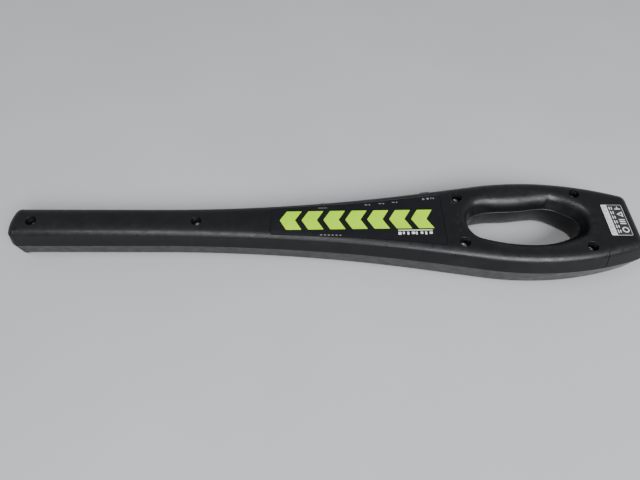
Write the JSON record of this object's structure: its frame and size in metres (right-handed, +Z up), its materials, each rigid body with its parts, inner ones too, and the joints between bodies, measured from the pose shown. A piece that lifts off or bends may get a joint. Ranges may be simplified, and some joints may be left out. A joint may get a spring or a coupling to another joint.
{
  "type": "hand-held security metal detector wand",
  "caption": "Black hand-held security metal detector wand with a slender paddle, a lime graphic label and a closed-loop handle, lying on its front face.",
  "frame": {"origin": "under the middle of the wand, on the surface that it lies on", "axes": "+X from the paddle tip to the base of the handle, +Z up, out of the rear face"},
  "size_m": [0.488, 0.0832, 0.0344],
  "materials": {
    "shell": "fine moulded texture",
    "control": "satin",
    "label": "satin printed film",
    "sticker": "printed film",
    "steel": "zinc plated",
    "ivory_plastic": "moulded",
    "dark_plastic": "moulded",
    "lens_green": "clear tinted",
    "lens_amber": "clear tinted",
    "lens_red": "clear tinted",
    "clear_plastic": "clear epoxy",
    "board": "solder mask",
    "chip": "moulded",
    "cap_sleeve": "shrink sleeve",
    "tinned": "tinned",
    "magnet": "nickel plated",
    "cone": "pressed paper",
    "gasket": "foam",
    "brass": "plain",
    "copper": "enamelled wire",
    "shield": "foil",
    "battery": "printed can",
    "wire_red": "insulation",
    "wire_white": "insulation"
  },
  "bodies": {
    "case": {"front_shell": "shell", "rear_shell": "shell", "label_panel": "label", "rating_sticker": "sticker", "case_screws": "steel", "mode_switch_body": "tinned", "button_switch_body": "dark_plastic", "lens_green": "lens_green", "lens_amber": "lens_amber", "lens_red": "lens_red", "indicator_leds": "clear_plastic", "main_board": "board", "board_chips": "chip", "board_capacitors": "cap_sleeve", "coil_plug": "ivory_plastic", "speaker_basket": "tinned", "speaker_magnet": "magnet", "speaker_gasket": "gasket", "motor_can": "tinned", "motor_cradle": "dark_plastic", "coil_tray": "dark_plastic", "transmit_coil": "copper", "receive_coil_front": "copper", "receive_coil_back": "copper", "shield_plate": "shield", "battery_contacts": "brass", "battery_leads": "wire_red", "coil_leads": "wire_white"},
    "battery_cover": {"battery_door": "shell", "battery_foam": "gasket"},
    "battery_block": {"battery": "battery"},
    "mode_slider": {"mode_knob": "control", "mode_lever": "ivory_plastic"},
    "button_cap": {"push_button": "control"},
    "plunger": {"button_plunger": "brass"},
    "rotor": {"motor_weight": "brass"},
    "cone_body": {"speaker_cone": "cone"}
  },
  "joints": [
    {"name": "battery_door_slide", "type": "slide", "parent": "case", "child": "battery_cover", "axis": [1, 0, 0], "range_m": [0, 0.044]},
    {"name": "battery_slide", "type": "slide", "parent": "case", "child": "battery_block", "axis": [1, 0, 0], "range_m": [0, 0.044]},
    {"name": "mode_switch_slide", "type": "slide", "parent": "case", "child": "mode_slider", "axis": [0.9877, 0.1564, 0], "range_m": [-0.0034, 0.0034]},
    {"name": "push_button_press", "type": "slide", "parent": "case", "child": "button_cap", "axis": [0, -1, 0], "range_m": [0, 0.0006], "stiffness_N_per_m": 800},
    {"name": "plunger_press", "type": "slide", "parent": "case", "child": "plunger", "axis": [0, -1, 0], "range_m": [0, 0.0006], "stiffness_N_per_m": 400},
    {"name": "motor_spin", "type": "hinge", "parent": "case", "child": "rotor", "pos_m": [0.149, -0.0296, 0.0144], "axis": [1, 0, 0], "continuous": true},
    {"name": "cone_stroke", "type": "slide", "parent": "case", "child": "cone_body", "axis": [0, 0, 1], "range_m": [-0.0002, 0.0002], "stiffness_N_per_m": 600}
  ],
  "couplings": [
    {"joint": "battery_slide", "follows": "battery_door_slide", "ratio": 1},
    {"joint": "plunger_press", "follows": "push_button_press", "ratio": 1}
  ]
}
